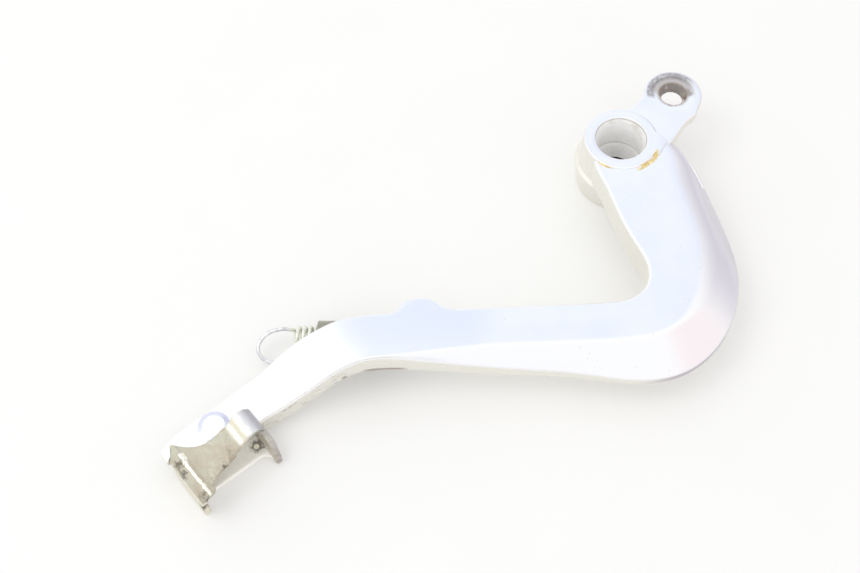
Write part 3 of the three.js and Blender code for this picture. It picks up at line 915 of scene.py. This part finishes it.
def lug_grease_and_shade(paint, base):
    """Grease round the clevis hole, heaviest on the far left rim, and painted shade on the far side of the
    sunk face and on the far wall of the hole. Also returns the mask of the grease, the spot marks and the
    hole's painted shade.
    """
    lug_x, lug_y = LUG_CENTRE
    reach = paint.plan_distance(lug_x, lug_y)
    smear = paint.noise(0.45, 4.0, 0.6)
    far = paint.fade(paint.y, lug_y - 1.5, lug_y + 2.5)
    # Painted shade: the far side of the sunk face round the hole is darker.
    patch = paint.product(paint.fade(reach, 9.6, 7.6), far)
    base = paint.tint(base, patch, 0.8, rgb(190, 182, 176))
    collar = paint.product(paint.fade(reach, 7.2, 5.6), paint.fade(smear, 0.25, 0.45))
    base = paint.tint(base, collar, 0.85, rgb(176, 160, 146))
    left = paint.fade(paint.less(paint.y, paint.x), -5.0, 3.0)
    far_left = paint.product(left, paint.fade(paint.y, lug_y - 3.0, lug_y - 0.5))
    rim = paint.product(paint.band(reach, 7.0, 8.4, 10.3, 11.3), far_left)
    grease = paint.product(rim, paint.fade(smear, 0.3, 0.55, 0.55, 1.0))
    base = paint.tint(base, grease, 0.85, rgb(147, 144, 149))
    # Painted shade on the far wall of the hole.
    throat = paint.product(paint.fade(reach, 5.9, 5.5), far)
    right_spot = paint.product(paint.disc(lug_x + 6.4, lug_y + 0.5, 2.6, 1.0), 0.8)
    near_spot = paint.product(paint.disc(lug_x - 1.5, lug_y - 5.6, 1.3, 0.5), 0.8)
    spots_and_hole_shade = paint.largest(right_spot, near_spot, throat)
    base = paint.tint(base, spots_and_hole_shade, paint.fade(smear, 0.25, 0.5), rgb(146, 140, 136))
    return base, paint.largest(grease, spots_and_hole_shade)


def old_paint(paint, base, boss_reach):
    """Old yellow paint in the groove between the boss face and the arm. Also returns its mask."""
    arm_side = paint.product(paint.band(paint.x, 4.5, 6.5, 13.5, 15.5), paint.fade(paint.y, -4.5, -7.0))
    groove = paint.product(paint.band(boss_reach, 14.3, 14.8, 16.2, 17.0), arm_side)
    far_side = paint.product(paint.band(paint.x, -10.5, -9.0, -6.5, -3.5), paint.fade(paint.y, -4.0, -7.0))
    thin = paint.product(paint.band(boss_reach, 14.6, 14.9, 15.2, 15.6), far_side)
    flakes = paint.fade(paint.noise(0.7, 3.0), 0.36, 0.44)
    high = paint.fade(paint.z, 22.0, 24.0)
    left_over = paint.product(paint.largest(groove, thin), flakes, high)
    patchy = paint.fade(paint.noise(1.3, 3.0), 0.4, 0.6)
    yellow = paint.mix(patchy, rgb(244, 224, 150), rgb(204, 174, 104))
    return paint.tint(base, left_over, 0.9, yellow), left_over


def aluminium_paint():
    """Polished on the top faces, as cast on the walls and all over the lower boss."""
    paint = Paint("polished_aluminium")
    boss_reach = paint.plan_distance(0.0, 0.0)
    lower_boss = paint.product(paint.fade(boss_reach, 18.4, 17.9), paint.fade(paint.z, 22.0, 20.0))
    wall = paint.largest(paint.fade(paint.normal[2], 0.5, 0.2), lower_boss)
    grain = paint.noise(3.0, 5.0, 0.7)
    cast = paint.mix(paint.fade(grain, 0.35, 0.7), rgb(243, 242, 235), rgb(225, 222, 212))
    base = paint.mix(wall, polish_and_painted_reflection(paint), cast)
    # Painted shade on the outer bevel and the outer wall.
    base = painted_side_shade(paint, base, wall)
    marks = knocks(paint, wall)
    base = paint.tint(base, marks, 0.7, rgb(128, 110, 98))
    # The returned mask holds the grease, the spot marks and the painted shade in the hole.
    base, grease = lug_grease_and_shade(paint, base)
    base, yellow = old_paint(paint, base, boss_reach)
    dirt_and_hole_shade = paint.largest(grease, yellow, marks)

    brushed = paint.noise(2.4, 6.0, 0.6, (0.3, 1.0, 1.0))
    rough = paint.blend(wall, paint.fade(brushed, 0.3, 0.7, 0.22, 0.27), 0.58)
    cast_shine = paint.fade(wall, 0.0, 1.0, 1.0, 0.6)
    paint.set("Base Color", base)
    paint.set("Metallic", paint.product(paint.fade(dirt_and_hole_shade, 0.1, 0.9, 1.0, 0.2), cast_shine))
    paint.set("Roughness", paint.blend(dirt_and_hole_shade, rough, 0.7))
    relief = paint.product(grain, paint.fade(wall, 0.0, 1.0, 0.01, 1.0))
    paint.bump(paint.less(relief, paint.product(marks, 0.8)), 0.05, 0.5)
    return paint.material


def bush_paint():
    """Pale ground metal with faint turning rings."""
    paint = Paint("bush_metal")
    rings = paint.noise(0.8, 4.0, 0.6, (0.15, 0.15, 3.0))
    stain = paint.noise(0.25, 4.0)
    base = paint.mix(paint.fade(rings, 0.35, 0.65), rgb(255, 255, 254), rgb(248, 247, 245))
    paint.set("Base Color", paint.mix(paint.fade(stain, 0.52, 0.72), base, rgb(234, 231, 224)))
    paint.set("Metallic", 0.15)
    paint.set("Roughness", paint.fade(stain, 0.3, 0.7, 0.3, 0.5))
    paint.bump(rings, 0.03, 0.5)
    return paint.material


def seal_paint():
    """Black rubber, dusty in places."""
    paint = Paint("seal_rubber")
    grain = paint.noise(2.5, 4.0)
    paint.set("Base Color", paint.mix(paint.fade(grain, 0.4, 0.7), rgb(28, 26, 25), rgb(62, 58, 52)))
    paint.set("Roughness", paint.fade(grain, 0.3, 0.7, 0.45, 0.75))
    paint.bump(grain, 0.04, 0.6)
    return paint.material


def cleat_fold_highlight(paint, along, across, height):
    """Mask of the bright line along the fold above the end wall, widest at its left end: painted highlight
    on rubbed plating.
    """
    ridge = paint.total(along, paint.wander(0.35, 2.0, 0.55, 2.4))
    start = paint.fade(across, 3.0, 9.0, 14.6, 15.6)
    fold = paint.product(paint.fade(paint.less(ridge, start), 0.0, 0.5), paint.fade(ridge, 17.3, 16.7))
    return paint.product(fold, paint.fade(across, 2.0, 3.2), paint.fade(height, 0.5, 1.5))


def rust_extra(paint, along, across, height):
    """Rust is heavier low down, at the strap's free edge, beside the hump and on the claw."""
    low = paint.fade(height, -1.0, -9.0, 0.0, 0.03)
    edge = paint.product(paint.fade(across, 11.5, 15.0), paint.fade(height, 0.0, 1.5), 0.10)
    fold_line = paint.less(along, paint.product(across, 0.35))
    crease = paint.band(fold_line, -4.4, -3.2, -2.2, -1.2)
    crease = paint.product(crease, paint.fade(height, 0.5, 2.0), 0.12)
    claw = paint.product(paint.fade(along, -10.6, -11.6), paint.fade(height, 2.0, 0.5), 0.09)
    return paint.total(low, edge, crease, claw)


def cleat_stains_and_shade(paint):
    """Mask of the dark stain patches, with ragged edges. The patch in the hollow under the hump is painted
    shade.
    """
    ragged = paint.wander(0.9, 4.0, 0.6, 5.0)
    stains_and_shade = []
    for along, across, height, radius in CLEAT_STAINS_AND_SHADE:
        centre = tuple(toe_matrix() @ Vector((along, across, height)))
        reach = paint.total(paint.distance(centre), ragged)
        stains_and_shade.append(paint.fade(reach, radius, 0.4 * radius))
    return paint.largest(*stains_and_shade)


def cleat_paint():
    """Plated steel: dull and rusted, rubbed bright on the hump, with painted highlights, reflection, light
    and shade.
    """
    paint = Paint("plated_steel")
    from_toe = paint.vector("SUBTRACT", paint.point, tuple(TOE_ORIGIN))
    along, across, height = paint.parts(paint.turn(from_toe, -TOE_ANGLE))
    blotch = paint.noise(0.16, 3.0, 0.5)
    fine = paint.noise(1.4, 6.0, 0.7)
    streaks = paint.noise(0.5, 4.0, 0.6, (0.4, 1.0, 1.0))
    base = paint.mix(paint.fade(blotch, 0.35, 0.65), rgb(194, 192, 174), rgb(190, 181, 162))
    # Painted light: the faces inside the cleat, which lie in shade under the strap, are painted near white.
    between_ends = paint.band(along, -11.6, -10.8, 17.4, 18.2)
    inside = paint.product(between_ends, paint.fade(height, -2.5, -5.0))
    base = paint.mix(inside, base, rgb(254, 252, 244))
    # Painted light: the outer face of the end wall is painted lighter than the strap.
    end_wall = paint.product(paint.fade(along, 17.6, 19.0), paint.fade(height, 0.5, -1.5))
    base = paint.mix(end_wall, base, rgb(226, 221, 204))

    hump = paint.product(paint.fade(along, -1.5, -4.0), paint.fade(height, 1.5, 3.0))
    # Painted highlight along the fold, over rubbed plating; the hump is rubbed bright.
    fold = cleat_fold_highlight(paint, along, across, height)
    wear_and_fold_highlight = paint.largest(hump, fold)
    base = paint.mix(wear_and_fold_highlight, base, rgb(238, 237, 236))
    base = paint.mix(fold, base, rgb(248, 246, 228))
    # Painted shade on the hump's far side and painted reflection on its near side.
    far_side = paint.product(hump, paint.fade(along, -7.5, -12.5))
    base = paint.tint(base, far_side, 0.8, rgb(184, 184, 188))
    near_side = paint.product(hump, paint.fade(along, -8.4, -5.0))
    base = paint.tint(base, near_side, 0.8, rgb(232, 226, 202))
    claw_side = paint.fade(along, -11.0, -12.2)
    base = paint.tint(base, claw_side, 0.7, rgb(186, 184, 182))

    spread = paint.total(paint.product(fine, 0.72), paint.product(blotch, 0.28))
    extra = rust_extra(paint, along, across, height)
    rust = paint.fade(paint.total(spread, extra), 0.57, 0.78)
    rust = paint.product(rust, paint.fade(wear_and_fold_highlight, 1.0, 0.0, 0.1, 1.0))
    base = paint.tint(base, rust, 0.6, rgb(146, 132, 112))
    # Dark stain patches, and painted shade in the hollow under the hump.
    stains_and_shade = cleat_stains_and_shade(paint)
    base = paint.tint(base, stains_and_shade, 0.85, rgb(104, 94, 82))
    glint = paint.distance(tuple(toe_matrix() @ Vector(GLINT)))
    base = paint.mix(paint.fade(glint, 1.2, 0.9), base, rgb(255, 252, 232))
    pits = paint.product(paint.dots(0.6, 0.15), paint.fade(fine, 0.45, 0.6), paint.fade(extra, 0.02, 0.08))
    base = paint.tint(base, pits, 0.85, rgb(64, 54, 46))

    paint.set("Base Color", base)
    paint.set("Metallic", paint.product(paint.fade(wear_and_fold_highlight, 0.0, 1.0, 0.25, 1.0), paint.inverse(inside)))
    paint.set("Roughness", paint.blend(hump, paint.fade(spread, 0.35, 0.65, 0.3, 0.6), 0.32))
    relief = paint.total(spread, paint.product(streaks, 0.5))
    relief = paint.less(relief, paint.product(paint.largest(pits, stains_and_shade), 0.5))
    paint.bump(paint.product(relief, paint.fade(hump, 0.0, 1.0, 1.0, 0.2)), 0.12, 0.6)
    return paint.material


def rivet_paint():
    """Bright head with a bluish rim of painted reflection, pitted on one side."""
    paint = Paint("rivet_metal")
    centre_x, centre_y = TOE_ORIGIN[:2]
    reach = paint.plan_distance(centre_x, centre_y)
    fine = paint.noise(1.8, 5.0, 0.6)
    # Painted reflection: the sloping rim of the head is tinted blue.
    rim = paint.fade(reach, 3.8, 4.4)
    base = paint.mix(rim, rgb(252, 252, 254), rgb(225, 229, 245))
    worn_side = paint.disc(centre_x + 3.6, centre_y + 3.4, 4.0, 2.5)
    pit_size = paint.fade(worn_side, 0.0, 1.0, 0.08, 0.34)
    pits = paint.product(paint.dots(1.2, pit_size), paint.fade(reach, 3.6, 4.4))
    paint.set("Base Color", paint.tint(base, pits, 0.7, rgb(96, 98, 120)))
    paint.set("Metallic", 1.0)
    paint.set("Roughness", paint.fade(fine, 0.3, 0.7, 0.22, 0.36))
    paint.bump(paint.less(fine, pits), 0.03, 0.5)
    return paint.material


def zinc_paint(name, bright, dark, metallic):
    """Zinc plate, bright on the hook and pin and dulled on the coil."""
    paint = Paint(name)
    fine = paint.noise(1.6, 4.0)
    blotch = paint.noise(0.3, 3.0)
    paint.set("Base Color", paint.mix(paint.fade(blotch, 0.4, 0.65), bright, dark))
    paint.set("Metallic", metallic)
    paint.set("Roughness", paint.fade(fine, 0.3, 0.7, 0.2, 0.38))
    paint.bump(fine, 0.02, 0.5)
    return paint.material


def sleeve_paint():
    """Perished grey rubber with pale specks."""
    paint = Paint("sleeve_rubber")
    fine = paint.noise(2.2, 6.0, 0.7)
    dust = paint.noise(0.35, 4.0)
    base = paint.mix(paint.fade(dust, 0.4, 0.65), rgb(148, 148, 134), rgb(176, 175, 161))
    paint.set("Base Color", paint.tint(base, paint.dots(0.9, 0.14), 0.7, rgb(212, 208, 192)))
    paint.set("Roughness", paint.fade(fine, 0.3, 0.7, 0.5, 0.8))
    paint.bump(fine, 0.08, 0.7)
    return paint.material


# ---- object ----
aluminium = aluminium_paint()
bright_zinc = zinc_paint("bright_zinc", rgb(238, 238, 241), rgb(206, 206, 211), 1.0)
dull_zinc = zinc_paint("dull_zinc", rgb(240, 241, 229), rgb(228, 229, 216), 0.6)
bush_metal = bush_paint()

finish_piece(lever(), "pedal", ["lever_arm"], aluminium, sharp=28)
outer_bush = bush("outer_pivot_bush_visual", bore=9.7, bottom=12.7, top=27.2, lead=0.4)
finish_piece(outer_bush, "pedal", ["outer_pivot_bush"], bush_metal)
inner_bush = bush("inner_pivot_bush_visual", bore=8.9, bottom=3.3, top=12.3, lead=0.9)
finish_piece(inner_bush, "pedal", ["inner_pivot_bush"], bush_metal)
finish_piece(dust_seal(), "pedal", ["inner_dust_seal"], seal_paint())
finish_piece(toe_cleat(), "pedal", ["toe_cleat"], cleat_paint(), sharp=60)
finish_piece(toe_rivet(), "pedal", ["toe_rivet"], rivet_paint())
finish_piece(anchor_pin(), "pedal", ["spring_anchor_pin"], bright_zinc)
finish_piece(sleeve(), "spring", ["spring_sleeve"], sleeve_paint())
finish_piece(hook(), "hook", ["spring_free_hook"], bright_zinc, sharp=60)
spring = finish_piece(coil(), None, ["return_spring"], dull_zinc, sharp=60)


def row_point(point):
    """A point of the drawing frame in metres in the row frame."""
    return tuple(PIVOT + np.array(point) / MILLIMETRES)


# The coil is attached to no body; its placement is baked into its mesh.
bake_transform(spring)


# ---- floor, light and camera ----
FLOOR_HALF_WIDTH = 3.0
FLOOR_DROP = 0.0002
SKY_WHITE = (1.0, 1.0, 0.99, 1.0)
SKY_HAZE = (0.72, 0.72, 0.80, 1.0)
SKY_STRENGTH = 1.06
# Towards, cosines of the angles where the patch starts and is full, and its colour.
SKY_PATCHES = [
    ((0.2, 0.56, 0.80), 0.925, 0.952, (0.865, 0.90, 1.0, 1.0)),
    ((0.14, 0.58, 0.80), 0.986, 0.998, (0.95, 0.975, 1.0, 1.0)),
    ((0.72, 0.70, 0.0), 0.62, 0.95, (0.70, 0.68, 0.73, 1.0)),
    ((0.85, -0.30, 0.42), 0.86, 0.99, (0.95, 0.86, 0.87, 1.0)),
    ((0.0, -0.8, 0.6), 0.70, 0.95, (0.97, 0.975, 1.0, 1.0)),
]
HAZE_TOP = 0.16
HAZE_FULL = 0.02
WINDOW_PLACE = (-0.75, -0.1, 1.3)
WINDOW_SIZE = 0.8
WINDOW_POWER = 3.0
CAMERA_PLACE = (-76.5, -331.9, 465.1)
CAMERA_TILT = math.radians(31)
CAMERA_LENS = 57.1
CAMERA_SENSOR = 36


def floor():
    half = FLOOR_HALF_WIDTH
    corners = [(-half, -half, 0), (half, -half, 0), (half, half, 0), (-half, half, 0)]
    piece = new_mesh("floor", corners, [(0, 1, 2, 3)])
    piece.location.z = -FLOOR_DROP
    paint = Paint("floor")
    mottle = paint.noise(0.02, 3.0)
    paint.set("Base Color", paint.mix(mottle, rgb(214, 214, 213), rgb(211, 211, 209)))
    paint.set("Emission Color", paint.mix(mottle, rgb(255, 254, 251), rgb(252, 252, 250)))
    paint.set("Emission Strength", 0.24)
    paint.set("Roughness", 0.8)
    paint.set("Specular IOR Level", 0.2)
    piece.data.materials.append(paint.material)


def sky():
    """World light whose colour depends on direction only."""
    world = bpy.data.worlds.new("studio")
    bpy.context.scene.world = world
    world.use_nodes = True
    graph = Graph(world.node_tree)
    direction = graph.tree.nodes.new("ShaderNodeTexCoord").outputs["Generated"]
    colour = SKY_WHITE
    for towards, start, full, patch_colour in SKY_PATCHES:
        closeness = graph.measure("DOT_PRODUCT", direction, Vector(towards).normalized())
        colour = graph.mix(graph.fade(closeness, start, full), colour, patch_colour)
    haze = graph.fade(graph.parts(direction)["Z"], HAZE_TOP, HAZE_FULL, shape="LINEAR")
    background = graph.tree.nodes["Background"]
    graph.put(graph.mix(haze, colour, SKY_HAZE), background.inputs["Color"])
    graph.put(SKY_STRENGTH, background.inputs["Strength"])


def window():
    """Soft round lamp aimed at the object."""
    lamp = bpy.data.lights.new("window", "AREA")
    lamp.shape = "DISK"
    lamp.size = WINDOW_SIZE
    lamp.energy = WINDOW_POWER
    holder = bpy.data.objects.new("window", lamp)
    holder.location = WINDOW_PLACE
    holder.rotation_euler = holder.location.to_track_quat("Z", "Y").to_euler()
    bpy.context.collection.objects.link(holder)


def camera():
    lens = bpy.data.cameras.new("camera")
    lens.lens = CAMERA_LENS
    lens.sensor_width = CAMERA_SENSOR
    lens.clip_start = 0.01
    viewer = bpy.data.objects.new("camera", lens)
    viewer.location = row_point(CAMERA_PLACE)
    viewer.rotation_euler = (CAMERA_TILT, 0, 0)
    bpy.context.collection.objects.link(viewer)
    bpy.context.scene.camera = viewer


floor()
sky()
window()
camera()
bpy.context.scene.view_settings.view_transform = "Standard"
